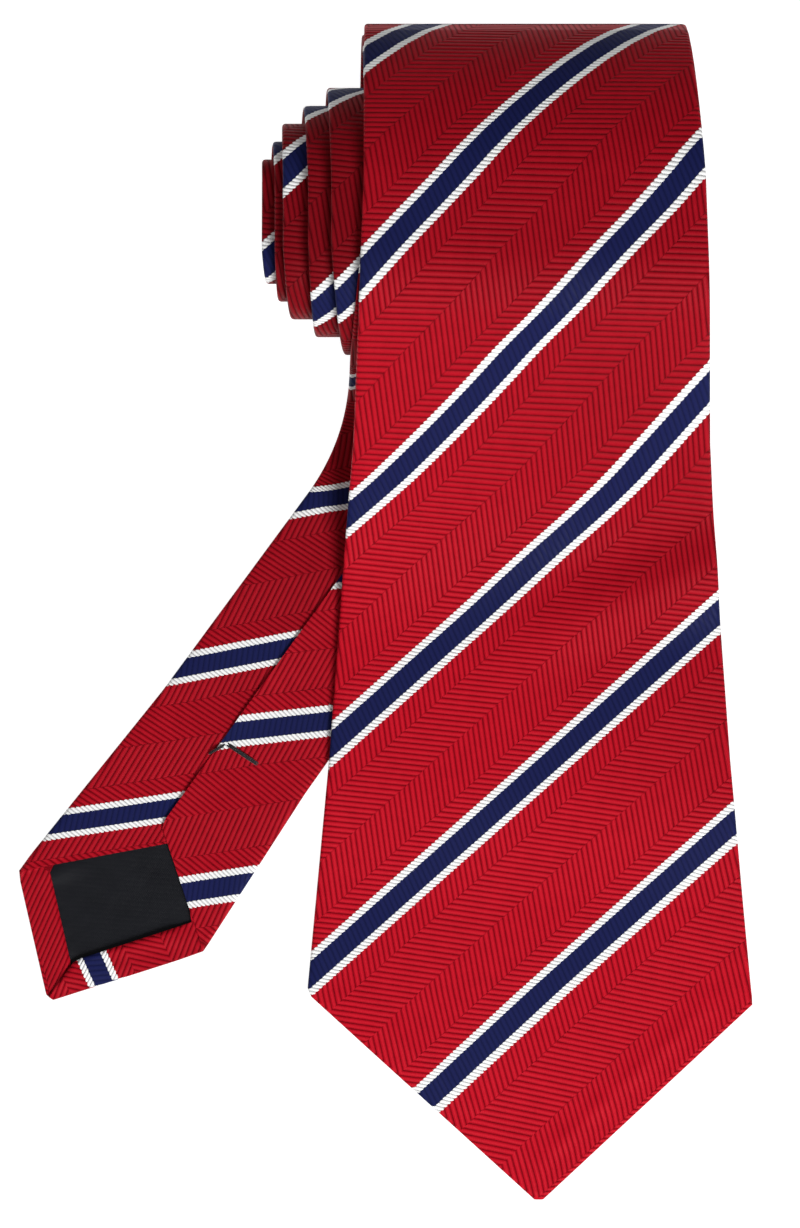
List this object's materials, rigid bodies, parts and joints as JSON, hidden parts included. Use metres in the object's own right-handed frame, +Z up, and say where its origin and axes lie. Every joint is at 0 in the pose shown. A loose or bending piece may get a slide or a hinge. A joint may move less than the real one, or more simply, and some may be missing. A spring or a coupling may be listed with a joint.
{
  "type": "necktie",
  "caption": "Long silk necktie, rolled up from the neck and laid flat, with a pointed wide blade and a narrow tail, a keeper loop behind and lined tips.",
  "frame": {"origin": "On the table, under the middle of the whole tie's box as it lies", "axes": "+X to the right with the wide tip towards the viewer, +Y from the wide tip to the roll, +Z up from the table"},
  "size_m": [0.1402, 0.2222, 0.0419],
  "materials": {
    "striped_silk": "jacquard silk twill, red herringbone with navy and white stripes",
    "interlining_wool": "brushed wool interlining",
    "black_satin": "satin tipping",
    "red_thread": "twisted sewing thread",
    "black_thread": "twisted sewing thread",
    "label_cloth": "plain woven label"
  },
  "bodies": {
    "roll": {"rolled_wide_silk": "striped_silk", "neck_silk": "striped_silk", "rolled_narrow_silk": "striped_silk", "rolled_interlining": "interlining_wool", "rolled_slip_stitch": "red_thread", "wide_piecing_seam": "red_thread", "narrow_piecing_seam": "red_thread"},
    "wide_blade": {"wide_blade_silk": "striped_silk", "blade_interlining": "interlining_wool", "wide_tipping": "black_satin", "blade_slip_stitch": "red_thread", "wide_bar_tack": "black_thread", "keeper_tack_left": "red_thread", "keeper_tack_right": "red_thread", "care_label": "label_cloth"},
    "keeper": {"keeper_loop": "striped_silk"},
    "narrow_tail": {"narrow_tail_silk": "striped_silk", "tail_interlining": "interlining_wool", "narrow_tipping": "black_satin", "tail_slip_stitch": "red_thread", "narrow_bar_tack": "black_thread"}
  },
  "joints": [
    {"name": "wide_blade_lift", "type": "hinge", "parent": "roll", "child": "wide_blade", "pos_m": [0.02748, 0.07483, 0.04189], "axis": [-1, 0, 0], "range_deg": [0, 75]},
    {"name": "narrow_tail_lift", "type": "hinge", "parent": "roll", "child": "narrow_tail", "pos_m": [-0.02683, -0.02098, 0.00155], "axis": [-0.8111, 0.585, 0], "range_deg": [0, 60]},
    {"name": "keeper_loop_rock", "type": "hinge", "parent": "wide_blade", "child": "keeper", "pos_m": [0.02748, 0.03699, 0.01977], "axis": [1, 0, 0], "range_deg": [-15, 15]}
  ]
}
